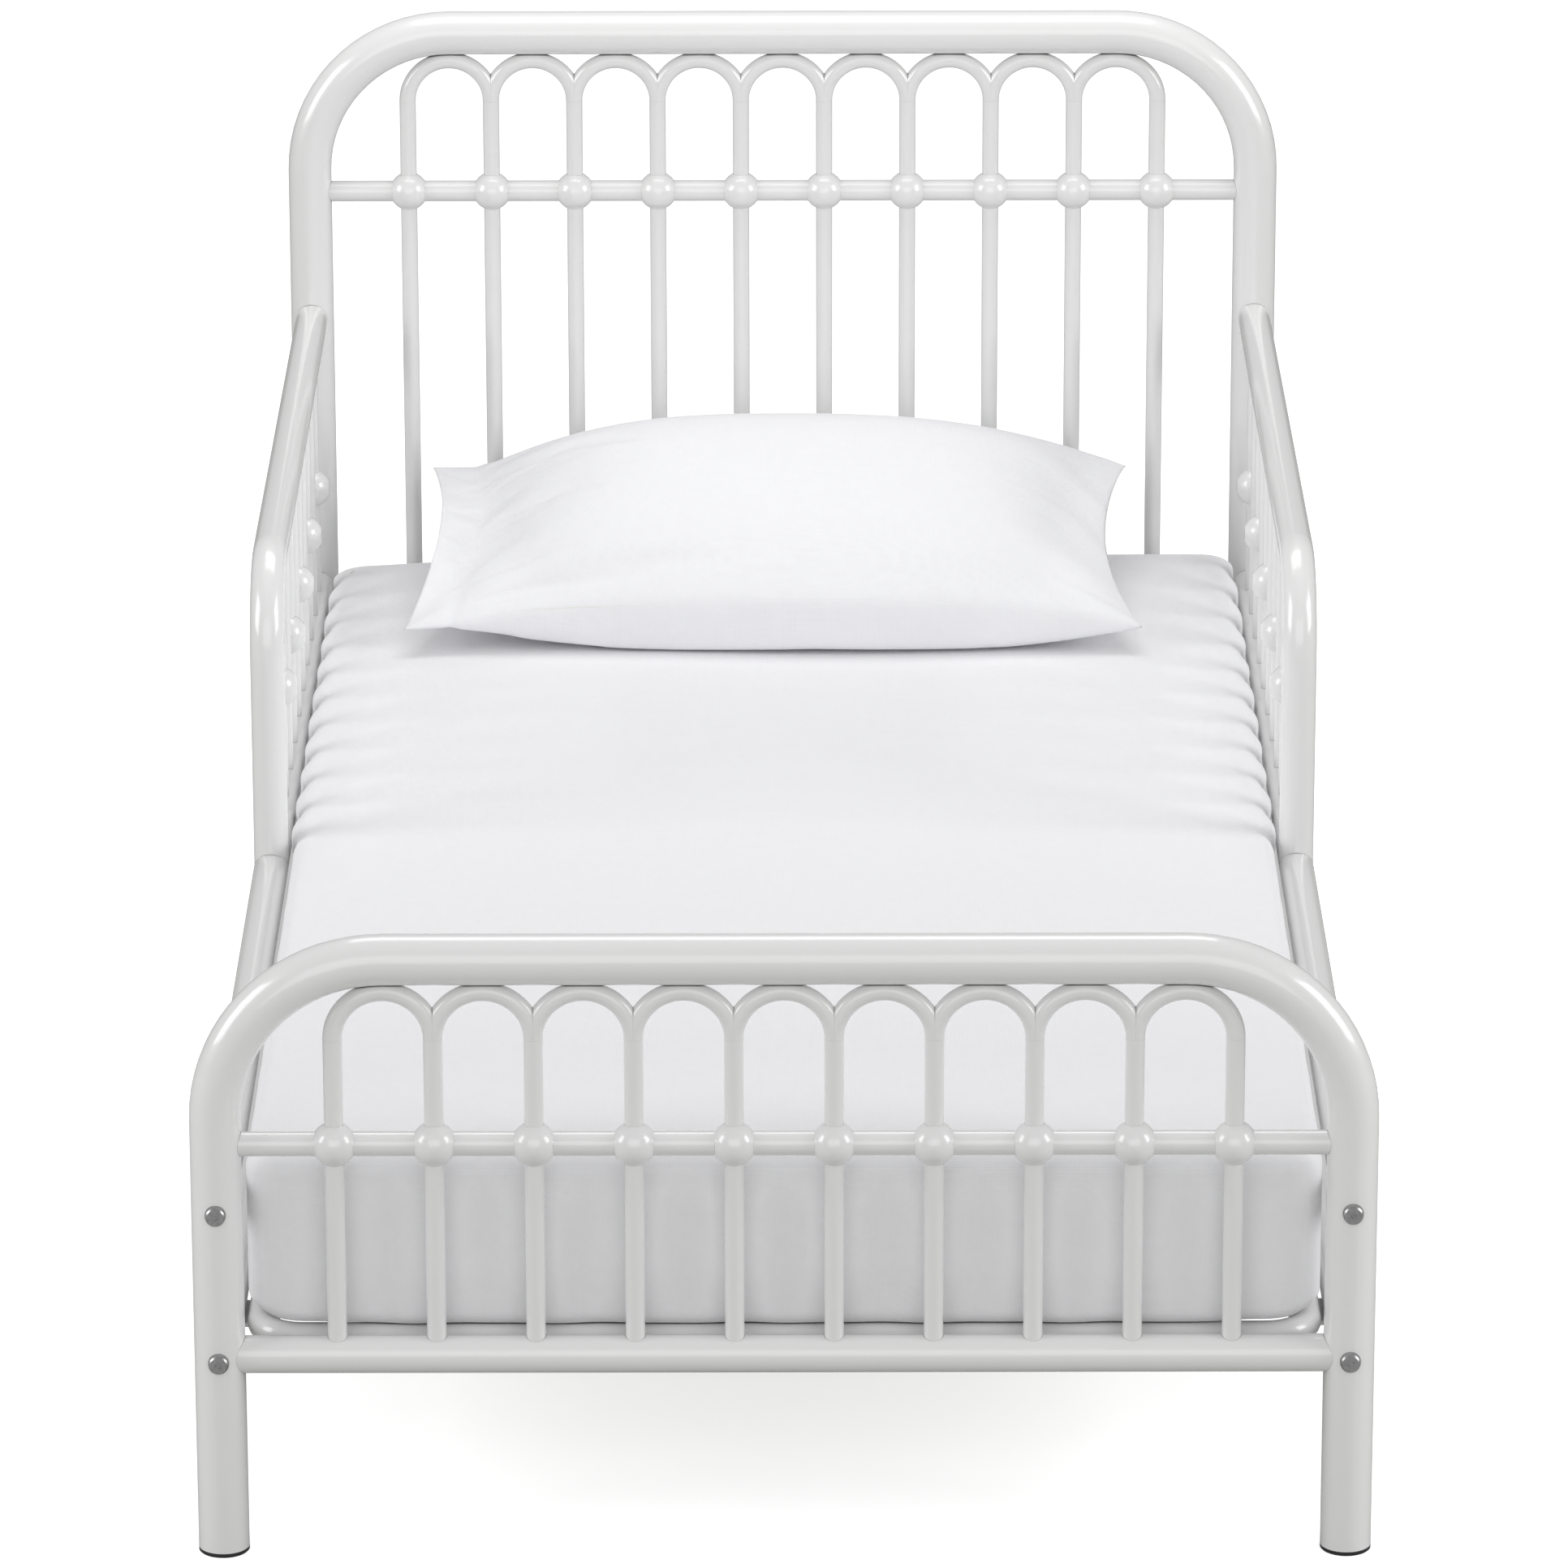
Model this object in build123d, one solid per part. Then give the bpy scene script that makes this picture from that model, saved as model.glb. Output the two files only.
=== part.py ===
from build123d import *
import math
import os

# Toddler bed in welded and bolted steel tube, with a crib-size mattress and a pillow.
# Units are millimetres. The origin is on the floor, under the middle of the bed.
# +X is to the bed's right seen from the foot end, +Y points at the headboard, +Z is up.

# ---- overall frame -----------------------------------------------------------------
post_spacing = 728.0          # between the centre lines of the two posts of an end
end_spacing = 1350.0          # between the planes of the headboard and the footboard
head_top_z = 677.0            # centre line of the headboard's top rail
foot_top_z = 406.0            # centre line of the footboard's top rail
side_rail_z = 238.0           # centre line of the upper side rails
low_rail_z = 136.0            # centre line of the lower side rails and of both bottom rails

# ---- tubes and rods ----------------------------------------------------------------
post_d = 33.0                 # the bent tube that makes two posts and a top rail
post_wall = 1.2
bend_r = 108.0                # bend of that tube, to its centre line
rail_d = 24.5                 # side rails, bottom rails and guards
rail_wall = 1.0
spindle_d = 12.5
spindle_wall = 1.5
ball_rail_d = 16.0
ball_rail_wall = 1.2

# ---- infill of the two ends --------------------------------------------------------
spindle_count = 10            # spindles in each end
edge_gap = 76.0               # from a post's centre line to the first spindle's
ball_drop = 125.0             # from the top rail's centre line down to the ball rail's
arch_bite = 1.25              # how far each arch is let into the top rail's underside
ball_d = 29.5
ball_width = 27.3             # across the two flats that the ball rail leaves by

# ---- side guards -------------------------------------------------------------------
guard_length = 682.0          # from the headboard's plane to the guard's front upright
guard_z = 453.0               # centre line of the guard's top run
guard_bend_r = 60.0
guard_spindle_count = 10
guard_ball_z = 332.0

# ---- mattress support --------------------------------------------------------------
support_d = 19.0              # perimeter tube
support_wall = 1.0
support_corner_r = 28.0       # to the centre line
support_side_clear = 2.5      # from the perimeter tube to the lower side rail
support_end_clear = 5.5       # from the perimeter tube to the end's bottom rail
support_z = 137.0
slat_count = 9
slat_width = 45.0
slat_depth = 9.0
slat_wall = 1.0
slat_end_lap = 4.5            # how far a slat's end reaches over the perimeter tube's flank
tab_count = 3                 # on each side
tab_length = 40.0
tab_reach = 34.0              # from the lower side rail's centre line inwards
tab_wall = 3.0

# ---- fasteners and feet ------------------------------------------------------------
bolt_d = 6.0
bolt_head_d = 12.7
bolt_head_h = 3.2
bolt_socket_d = 4.0
bolt_socket_depth = 2.2
bolt_hole_clear = 0.5         # on the diameter
washer_d = 13.4
washer_crown = 0.8            # washer thickness over the tube's nearest line
insert_length = 28.0          # threaded plug in the end of a rail
insert_clear = 0.1            # plug to tube bore, on the radius
insert_thread_clear = 0.05    # plug to bolt, on the radius
bolt_past_insert = 4.0
screw_d = 5.0
screw_head_d = 10.0
screw_head_h = 3.0
screw_length = 14.0
glide_foot = 3.0              # part of a glide that shows under the post
glide_plug = 18.0             # part of a glide inside the post
glide_clear = 0.1

# ---- bedding -----------------------------------------------------------------------
mattress_side_clear = 5.75    # mattress to side rail
mattress_end_clear = 2.5      # mattress to the inner face of the posts
mattress_h = 114.7
mattress_corner_r = 22.0
mattress_edge_r = 12.0
sheet_t = 1.2
sheet_gap = 0.1               # mattress to sheet, and pillow to pillowcase
sheet_hem_z = 12.0            # the sheet's lower edge above the mattress's underside
pillow_w = 558.0
pillow_depth = 262.0
pillow_h = 134.0
pillow_corner_r = 45.0
pillow_edge_r = 60.0
pillow_x = -6.0
pillow_head_clear = 13.0      # pillow to the headboard's spindles
pillow_cuff = 26.0            # the empty, open end of the pillowcase

# ---- clearances --------------------------------------------------------------------
weld_gap = 0.05               # between welded or cast-on pieces, on each face
joint_gap = 0.15              # between a bolted rail's saddle end and its post
rest_gap = 0.3                # between a loose piece and what it rests on

# ---- worked out from the values above ----------------------------------------------
post_x = post_spacing / 2
end_y = end_spacing / 2
spindle_pitch = (post_spacing - 2 * edge_gap) / (spindle_count - 1)
arch_r = spindle_pitch / 2
guard_pitch = guard_length / (guard_spindle_count + 1)
guard_front_y = end_y - guard_length
support_x = post_x - rail_d / 2 - support_side_clear - support_d / 2
support_y = end_y - rail_d / 2 - support_end_clear - support_d / 2
support_top = support_z + support_d / 2
mattress_z = support_top + rest_gap
mattress_w = post_spacing - rail_d - 2 * mattress_side_clear
mattress_l = end_spacing - post_d - 2 * mattress_end_clear
pillow_z = mattress_z + mattress_h + sheet_gap + sheet_t + rest_gap
big = 2 * (end_spacing + post_spacing)

X_DIR = Vector(1, 0, 0)
Y_DIR = Vector(0, 1, 0)
Z_DIR = Vector(0, 0, 1)
SIDES = {"left": -1, "right": 1}
ENDS = {"foot": (-1, foot_top_z), "head": (1, head_top_z)}


def rod(start, end, diameter):
    """A solid round bar between two points."""
    start = Vector(*start)
    run = Vector(*end) - start
    bar = Cylinder(diameter / 2, run.length, align=(Align.CENTER, Align.CENTER, Align.MIN))
    return Plane(origin=start, z_dir=run) * bar


def tube(start, end, diameter, wall):
    """A round tube between two points."""
    return rod(start, end, diameter) - rod(start, end, diameter - 2 * wall)


def bent_bar(path, diameter):
    """A solid round bar swept along a path of straight runs and arcs."""
    section = Plane(origin=path @ 0, z_dir=path % 0) * Circle(diameter / 2)
    return sweep(section, path=path)


def bent_tube(path, diameter, wall):
    """A round tube swept along a path of straight runs and arcs."""
    return bent_bar(path, diameter) - bent_bar(path, diameter - 2 * wall)


def write(name, *pieces):
    """Writes one sub-part, which may be a group of separate solids."""
    solids = []
    for piece in pieces:
        solids.extend(piece.solids())
    for index, solid in enumerate(solids):
        solid.label = f"{name}_{index + 1}" if len(solids) > 1 else name
    shape = solids[0] if len(solids) == 1 else Compound(label=name, children=solids)
    export_step(shape, f"parts/{name}.step")


def loop_path(way, top_z):
    """Up one post, across the top and down the other post."""
    y = way * end_y
    corners = [(-post_x, y, glide_foot), (-post_x, y, top_z), (post_x, y, top_z), (post_x, y, glide_foot)]
    return FilletPolyline(*corners, radius=bend_r)


def loop_bar(way, extra=0.0):
    """The outside of one end's bent tube as a solid bar, used to shape what meets it."""
    top_z = head_top_z if way > 0 else foot_top_z
    return bent_bar(loop_path(way, top_z), post_d + 2 * extra)


def post_bar(side, way, extra=0.0):
    """The outside of one post as a solid bar, used to shape what meets it."""
    at = (side * post_x, way * end_y)
    top = head_top_z if way > 0 else foot_top_z
    return rod((*at, 0), (*at, top), post_d + 2 * extra)


def bottom_bar(way, extra=0.0):
    """The outside of one end's bottom rail as a solid bar."""
    start = (-post_x, way * end_y, low_rail_z)
    return rod(start, (post_x, way * end_y, low_rail_z), rail_d + 2 * extra)


def side_bar(side, z, extra=0.0):
    """The outside of one side rail as a solid bar."""
    return rod((side * post_x, -end_y, z), (side * post_x, end_y, z), rail_d + 2 * extra)


def spindle_xs():
    """Centre lines of an end's spindles."""
    return [-post_x + edge_gap + i * spindle_pitch for i in range(spindle_count)]


def bolt_places():
    """Side, end direction and height of each frame bolt."""
    places = []
    for side in SIDES.values():
        for way in (-1, 1):
            places.append((side, way, low_rail_z))
            places.append((side, way, side_rail_z))
        places.append((side, 1, guard_z))
    return places


# ---- end frames --------------------------------------------------------------------
def loop_tube(way, top_z):
    """The bent tube of one end, with its bolt holes."""
    frame = bent_tube(loop_path(way, top_z), post_d, post_wall)
    for side, bolt_way, z in bolt_places():
        if bolt_way == way:
            near = (side * post_x, way * (end_y - post_d), z)
            far = (side * post_x, way * (end_y + post_d), z)
            frame -= rod(near, far, bolt_d + bolt_hole_clear)
    return frame


def cross_rail(way, z, diameter, wall):
    """A straight rail from post to post, with saddle-shaped ends."""
    y = way * end_y
    rail = tube((-post_x, y, z), (post_x, y, z), diameter, wall)
    return rail - loop_bar(way, weld_gap)


def ball_rail(way, top_z):
    """The thin rail, drilled for the spindles that pass through it."""
    z = top_z - ball_drop
    rail = cross_rail(way, z, ball_rail_d, ball_rail_wall)
    for x in spindle_xs():
        low = (x, way * end_y, z - ball_rail_d)
        high = (x, way * end_y, z + ball_rail_d)
        rail -= rod(low, high, spindle_d + 2 * weld_gap)
    return rail


def spring_line(top_z):
    """Height where the spindles end and the arches begin."""
    return top_z - post_d / 2 - spindle_d / 2 + arch_bite - arch_r


def spindles(way, top_z):
    """The uprights of one end, each with a saddle foot on the bottom rail."""
    y = way * end_y
    foot = bottom_bar(way, weld_gap)
    top = spring_line(top_z) - weld_gap
    return [tube((x, y, low_rail_z), (x, y, top), spindle_d, spindle_wall) - foot for x in spindle_xs()]


def arches(way, top_z):
    """Half rings between neighbouring spindles, mitred together over each shared spindle."""
    y = way * end_y
    z = spring_line(top_z)
    rail = loop_bar(way, weld_gap)
    xs = spindle_xs()
    rings = []
    for index in range(spindle_count - 1):
        centre = (xs[index] + xs[index + 1]) / 2
        ring = Torus(arch_r, spindle_d / 2) - Torus(arch_r, spindle_d / 2 - spindle_wall)
        ring = Pos(centre, y, z) * Rot(90, 0, 0) * ring
        low_x = xs[index] + weld_gap / 2 if index > 0 else xs[0] - spindle_d
        last = index == spindle_count - 2
        high_x = xs[-1] + spindle_d if last else xs[index + 1] - weld_gap / 2
        window = Box(high_x - low_x, 2 * spindle_d, 2 * arch_r, align=(Align.MIN, Align.CENTER, Align.MIN))
        rings.append((ring & (Pos(low_x, y, z) * window)) - rail)
    return rings


def balls(way, top_z):
    """Cast balls over the crossings of the ball rail and the spindles."""
    y = way * end_y
    z = top_z - ball_drop
    cast = Sphere(ball_d / 2) & Box(ball_width, ball_d, ball_d)
    cast -= rod((-ball_d, 0, 0), (ball_d, 0, 0), ball_rail_d + 2 * weld_gap)
    cast -= rod((0, 0, -ball_d), (0, 0, ball_d), spindle_d + 2 * weld_gap)
    return [Pos(x, y, z) * cast for x in spindle_xs()]


def glides():
    """Black caps plugged into the four post ends."""
    flange = Cylinder(post_d / 2, glide_foot, align=(Align.CENTER, Align.CENTER, Align.MIN))
    flange = chamfer(flange.edges().group_by(Axis.Z)[0], glide_foot / 4)
    plug = rod((0, 0, glide_foot), (0, 0, glide_foot + glide_plug), post_d - 2 * (post_wall + glide_clear))
    cap = flange + plug
    return [Pos(side * post_x, way * end_y, 0) * cap for side in SIDES.values() for way in (-1, 1)]


# ---- sides -------------------------------------------------------------------------
def side_rail(side, z):
    """A rail from the footboard to the headboard, with saddle-shaped ends."""
    x = side * post_x
    rail = tube((x, -end_y, z), (x, end_y, z), rail_d, rail_wall)
    for way in (-1, 1):
        rail -= post_bar(side, way, joint_gap)
        if z == low_rail_z:
            rail -= bottom_bar(way, joint_gap)
    return rail


def guard_path(side):
    """Forwards from the headboard's post, then down to the upper side rail."""
    x = side * post_x
    corners = [(x, end_y, guard_z), (x, guard_front_y, guard_z), (x, guard_front_y, side_rail_z)]
    return FilletPolyline(*corners, radius=guard_bend_r)


def guard_tube(side):
    """The bent tube of one guard."""
    bent = bent_tube(guard_path(side), rail_d, rail_wall)
    return bent - post_bar(side, 1, joint_gap) - side_bar(side, side_rail_z, weld_gap)


def guard_spindles(side):
    """Uprights between the upper side rail and the guard's top run."""
    x = side * post_x
    foot = side_bar(side, side_rail_z, weld_gap)
    head = bent_bar(guard_path(side), rail_d + 2 * weld_gap)
    uprights = []
    for index in range(guard_spindle_count):
        y = end_y - (index + 1) * guard_pitch
        upright = tube((x, y, side_rail_z), (x, y, guard_z), spindle_d, spindle_wall)
        uprights.append(upright - foot - head)
    return uprights


def guard_balls(side):
    """A cast ball on every second upright, starting with the one beside the headboard."""
    cast = Sphere(ball_d / 2) & Box(ball_width, ball_width, ball_d)
    cast -= rod((0, 0, -ball_d), (0, 0, ball_d), spindle_d + 2 * weld_gap)
    ys = [end_y - (index + 1) * guard_pitch for index in range(0, guard_spindle_count, 2)]
    return [Pos(side * post_x, y, guard_ball_z) * cast for y in ys]


def insert(side, way, z):
    """A threaded plug in the end of a rail, shaped to its post like the rail itself."""
    x = side * post_x
    outer = way * end_y
    inner = way * (end_y - post_d / 2 - insert_length)
    plug = rod((x, inner, z), (x, outer, z), rail_d - 2 * (rail_wall + insert_clear))
    plug -= rod((x, inner - way, z), (x, outer, z), bolt_d + 2 * insert_thread_clear)
    return plug - post_bar(side, way, joint_gap)


# ---- fasteners ---------------------------------------------------------------------
def bolt(side, way, z):
    """A socket-head bolt through a post into a rail's plug."""
    x = side * post_x
    seat = end_y + post_d / 2 + washer_crown
    tip = end_y - post_d / 2 - insert_length - bolt_past_insert
    shank = rod((x, way * tip, z), (x, way * seat, z), bolt_d)
    head = rod((0, 0, 0), (0, 0, bolt_head_h), bolt_head_d)
    head = chamfer(head.edges().group_by(Axis.Z)[-1], bolt_head_h / 3)
    socket_floor = bolt_head_h - bolt_socket_depth
    socket = extrude(RegularPolygon(bolt_socket_d / 2, 6, major_radius=False), bolt_socket_depth)
    head -= Pos(0, 0, socket_floor) * socket
    return shank + Plane(origin=(x, way * seat, z), z_dir=(0, way, 0)) * head


def washer(side, way, z):
    """A saddle washer: flat under the bolt head, hollow over the post."""
    x = side * post_x
    flat = way * (end_y + post_d / 2 + washer_crown)
    ring = rod((x, way * end_y, z), (x, flat, z), washer_d)
    ring -= rod((x, way * end_y, z), (x, flat + way, z), bolt_d + bolt_hole_clear)
    return ring - post_bar(side, way, weld_gap)


# ---- mattress support --------------------------------------------------------------
def support_loop(diameter):
    """The perimeter tube's centre line, swept with a round section of the given size."""
    outline = RectangleRounded(2 * support_x, 2 * support_y, support_corner_r)
    path = Pos(0, 0, support_z) * outline.wire()
    return bent_bar(path, diameter)


def tab_ys():
    """Places of the support tabs along each lower side rail."""
    span = 2 * support_y - 2 * support_corner_r - 2 * tab_length
    return [-span / 2 + i * span / (tab_count - 1) for i in range(tab_count)]


def support_tube():
    """The perimeter tube, drilled from below for its screws."""
    loop = support_loop(support_d) - support_loop(support_d - 2 * support_wall)
    for side in SIDES.values():
        for y in tab_ys():
            low = (side * support_x, y, support_z - support_d)
            loop -= rod(low, (side * support_x, y, support_z), screw_d + 2 * weld_gap)
    return loop


def slat(y):
    """A pressed steel slat, open downwards, with its ends on the perimeter tube's flanks."""
    top = support_top
    reach = support_x - slat_end_lap
    body = Box(2 * reach, slat_width, slat_depth, align=(Align.CENTER, Align.CENTER, Align.MAX))
    fold_r = 2 * slat_wall
    body = fillet(body.edges().filter_by(Axis.X).group_by(Axis.Z)[-1], fold_r)
    hollow_w = slat_width - 2 * slat_wall
    hollow_d = slat_depth - slat_wall
    hollow = Box(3 * reach, hollow_w, hollow_d, align=(Align.CENTER, Align.CENTER, Align.MAX))
    hollow = fillet(hollow.edges().filter_by(Axis.X).group_by(Axis.Z)[-1], slat_wall)
    channel = Pos(0, y, top) * (body - Pos(0, 0, -slat_wall) * hollow)
    for side in SIDES.values():
        start = (side * support_x, -end_y, support_z)
        channel -= rod(start, (side * support_x, end_y, support_z), support_d + 2 * weld_gap)
    return channel


def slat_ys():
    """Places of the slats along the bed."""
    span = 2 * support_y - 2 * support_corner_r - 2 * slat_width
    return [-span / 2 + i * span / (slat_count - 1) for i in range(slat_count)]


def tab(side, y):
    """A plate welded to the lower side rail, which the perimeter tube is screwed down on."""
    top = support_z - support_d / 2 - weld_gap
    plate = Box(tab_reach, tab_length, tab_wall, align=(Align.MAX, Align.CENTER, Align.MAX))
    if side < 0:
        plate = Rot(0, 0, 180) * plate
    plate = Pos(side * post_x, y, top) * plate
    hole = (side * support_x, y)
    plate -= rod((*hole, top - 2 * tab_wall), (*hole, top + tab_wall), screw_d + 2 * weld_gap)
    return plate - side_bar(side, low_rail_z, weld_gap)


def screw(side, y):
    """A pan-head screw up through a tab into the perimeter tube."""
    seat = support_z - support_d / 2 - weld_gap - tab_wall - weld_gap
    at = (side * support_x, y)
    head = Cylinder(screw_head_d / 2, screw_head_h, align=(Align.CENTER, Align.CENTER, Align.MAX))
    head = fillet(head.edges().group_by(Axis.Z)[0], screw_head_h / 3)
    head -= Pos(0, 0, -screw_head_h) * Box(screw_head_d / 2, screw_head_h / 4, screw_head_h)
    head -= Pos(0, 0, -screw_head_h) * Box(screw_head_h / 4, screw_head_d / 2, screw_head_h)
    return Pos(*at, seat) * head + rod((*at, seat), (*at, seat + screw_length), screw_d)


# ---- bedding -----------------------------------------------------------------------
def padded_block(width, length, height, corner_r, edge_r):
    """A block with rounded corners and edges, standing on z = 0."""
    block = extrude(RectangleRounded(width, length, corner_r), height)
    rims = block.edges().group_by(Axis.Z)
    return fillet(rims[0] + rims[-1], edge_r)


def mattress_block(grow):
    """The mattress's shape, grown outwards by the given distance."""
    block = padded_block(
        mattress_w + 2 * grow,
        mattress_l + 2 * grow,
        mattress_h + 2 * grow,
        mattress_corner_r + grow,
        mattress_edge_r + grow,
    )
    return Pos(0, 0, mattress_z - grow) * block


def fitted_sheet():
    """The sheet over the mattress's top and sides, open underneath."""
    shell = mattress_block(sheet_gap + sheet_t) - mattress_block(sheet_gap)
    below = Box(big, big, big, align=(Align.CENTER, Align.CENTER, Align.MAX))
    return shell - Pos(0, 0, mattress_z + sheet_hem_z) * below


def pillow_block(grow):
    """The pillow's shape, grown outwards by the given distance."""
    shrink = sheet_t + sheet_gap - grow
    block = padded_block(
        pillow_w - 2 * shrink,
        pillow_depth - 2 * shrink,
        pillow_h - 2 * shrink,
        pillow_corner_r - shrink,
        pillow_edge_r - shrink,
    )
    y = end_y - spindle_d / 2 - pillow_head_clear - pillow_depth / 2
    return Pos(pillow_x, y, pillow_z + shrink) * block


def pillow_insert():
    """The stuffed pillow, which stops short of the pillowcase's open end."""
    left = pillow_x - pillow_w / 2
    keep = Box(pillow_w, big, big, align=(Align.MIN, Align.CENTER, Align.CENTER))
    return pillow_block(0.0) & (Pos(left + 2 * pillow_cuff, 0, 0) * keep)


def pillowcase():
    """The case round the pillow, open at its left end."""
    shell = pillow_block(sheet_gap + sheet_t) - pillow_block(sheet_gap)
    left = pillow_x - pillow_w / 2
    beyond = Box(pillow_w, big, big, align=(Align.MAX, Align.CENTER, Align.CENTER))
    return shell - Pos(left + pillow_cuff, 0, 0) * beyond


# ---- the whole bed -----------------------------------------------------------------
os.makedirs("parts", exist_ok=True)

for end, (way, top_z) in ENDS.items():
    write(f"{end}_loop_tube", loop_tube(way, top_z))
    write(f"{end}_bottom_rail", cross_rail(way, low_rail_z, rail_d, rail_wall))
    write(f"{end}_ball_rail", ball_rail(way, top_z))
    write(f"{end}_spindles", *spindles(way, top_z))
    write(f"{end}_arches", *arches(way, top_z))
    write(f"{end}_balls", *balls(way, top_z))

for name, side in SIDES.items():
    write(f"{name}_side_rail", side_rail(side, side_rail_z))
    write(f"{name}_lower_rail", side_rail(side, low_rail_z))
    write(f"{name}_guard_tube", guard_tube(side))
    write(f"{name}_guard_spindles", *guard_spindles(side))
    write(f"{name}_guard_balls", *guard_balls(side))
    write(f"{name}_rail_inserts", *[insert(*place) for place in bolt_places() if place[0] == side])
    write(f"{name}_support_tabs", *[tab(side, y) for y in tab_ys()])

write("frame_bolts", *[bolt(*place) for place in bolt_places()])
write("saddle_washers", *[washer(*place) for place in bolt_places()])
write("foot_glides", *glides())
write("support_tube", support_tube())
for number, slat_y in enumerate(slat_ys(), start=1):
    write(f"slat_{number}", slat(slat_y))
write("support_screws", *[screw(side, y) for side in SIDES.values() for y in tab_ys()])

write("mattress_core", mattress_block(0.0))
write("fitted_sheet", fitted_sheet())
write("pillow_insert", pillow_insert())
write("pillowcase", pillowcase())
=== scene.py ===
import math

import bpy
import numpy as np
from mathutils import Matrix, Vector


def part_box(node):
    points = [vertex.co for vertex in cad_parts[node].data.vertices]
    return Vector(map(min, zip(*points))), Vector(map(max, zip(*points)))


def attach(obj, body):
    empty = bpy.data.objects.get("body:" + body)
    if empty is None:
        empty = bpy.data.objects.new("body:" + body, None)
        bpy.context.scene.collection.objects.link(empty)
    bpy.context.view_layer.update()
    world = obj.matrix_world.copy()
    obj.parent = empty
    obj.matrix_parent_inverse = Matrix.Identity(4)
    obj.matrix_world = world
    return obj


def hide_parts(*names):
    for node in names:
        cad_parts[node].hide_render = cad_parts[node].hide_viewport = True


bl_info = {
    "name": "Toddler Bed Finish",
    "version": (1, 0, 0),
    "blender": (4, 5, 0),
    "location": "3D View > Sidebar > Toddler Bed",
    "description": "Finishes the steel frame and makes the bed's mattress, fitted sheet and pillow",
    "category": "Object",
}

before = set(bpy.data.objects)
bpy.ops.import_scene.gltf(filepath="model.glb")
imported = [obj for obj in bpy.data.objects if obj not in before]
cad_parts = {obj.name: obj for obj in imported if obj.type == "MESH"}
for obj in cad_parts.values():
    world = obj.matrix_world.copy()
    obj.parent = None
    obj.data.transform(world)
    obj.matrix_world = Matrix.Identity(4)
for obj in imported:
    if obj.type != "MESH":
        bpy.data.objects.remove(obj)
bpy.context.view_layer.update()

MM = 0.001
TINY = 1e-9
MATTRESS_BODY = "mattress"
PILLOW_BODY = "pillow"

LOOPS = ["head_loop_tube", "foot_loop_tube"]
END_PARTS = ["bottom_rail", "ball_rail", "spindles", "arches", "balls"]
SIDE_PARTS = ["side_rail", "lower_rail", "guard_tube", "guard_spindles", "guard_balls", "support_tabs"]
COATED = LOOPS + [f"{end}_{part}" for end in ("head", "foot") for part in END_PARTS]
COATED += [f"{side}_{part}" for side in ("left", "right") for part in SIDE_PARTS]
SUPPORT = ["support_tube"] + sorted(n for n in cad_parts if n.startswith("slat_"))
PLATED = ["frame_bolts", "saddle_washers", "support_screws", "left_rail_inserts", "right_rail_inserts"]
GLIDES = ["foot_glides"]

UPRIGHTS = 10
UPRIGHT_RADIUS = 6.25 * MM
TUCK = 45 * MM

# A wave texture at scale 1 repeats after this length.
WAVE_PERIOD = math.pi / 10

# Each softbox: its name, its place, the point it faces, its width and height, and its watts.
SOFTBOXES = [
    ("overhead_softbox", (0.0, 0.6, 2.1), (0.0, 0.3, 0.2), (1.5, 0.9), 12.0),
    ("left_softbox", (-4.3, -1.3, 2.1), (0.0, 0.0, 0.35), (2.2, 2.4), 75.0),
    ("right_softbox", (4.3, -1.3, 2.1), (0.0, 0.0, 0.35), (2.2, 2.4), 85.0),
    ("front_softbox", (0.0, -4.2, 1.6), (0.0, -0.6, 0.3), (4.4, 2.3), 39.0),
]
FLOOR_HALF = 14.0
CAMERA_X = 0.0003


# ---- small helpers -----------------------------------------------------------------
def linear(hex_colour):
    """An sRGB hex colour as linear RGBA."""
    out = []
    for i in (1, 3, 5):
        c = int(hex_colour[i:i + 2], 16) / 255
        out.append(c / 12.92 if c <= 0.04045 else ((c + 0.055) / 1.055) ** 2.4)
    return (*out, 1.0)


def per_metre(millimetres):
    """The texture scale that makes a pattern repeat at this real size."""
    return 1 / (millimetres * MM)


def add_node(tree, kind, settings=None, inputs=None, links=None):
    """Adds a node. settings sets its own values, inputs its sockets, links other nodes' outputs."""
    node = tree.nodes.new(kind)
    for name, value in (settings or {}).items():
        setattr(node, name, value)
    for socket, value in (inputs or {}).items():
        node.inputs[socket].default_value = value
    for socket, source in (links or {}).items():
        tree.links.new(source, node.inputs[socket])
    return node


def new_material(name):
    """A node material with an empty tree, and that tree."""
    material = bpy.data.materials.new(name)
    material.use_nodes = True
    material.node_tree.nodes.clear()
    return material, material.node_tree


def close_material(tree, shader):
    """Joins the finished shader to the material's output."""
    add_node(tree, "ShaderNodeOutputMaterial", links={"Surface": shader.outputs[0]})


def coat(nodes, material):
    """Puts one material on CAD nodes."""
    for name in nodes:
        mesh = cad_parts[name].data
        mesh.materials.clear()
        mesh.materials.append(material)


def new_piece(name, points, faces, material, smooth=True):
    """A mesh object in the scene, with one material."""
    mesh = bpy.data.meshes.new(name)
    mesh.from_pydata([tuple(p) for p in points], [], [tuple(f) for f in faces])
    mesh.validate()
    mesh.update()
    piece = bpy.data.objects.new(name, mesh)
    bpy.context.scene.collection.objects.link(piece)
    mesh.materials.append(material)
    mesh.polygons.foreach_set("use_smooth", [smooth] * len(mesh.polygons))
    return piece


def ramp(value, low, high):
    """0 below low, 1 above high, smooth in between."""
    t = np.clip((value - low) / (high - low), 0.0, 1.0)
    return t * t * (3 - 2 * t)


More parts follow.
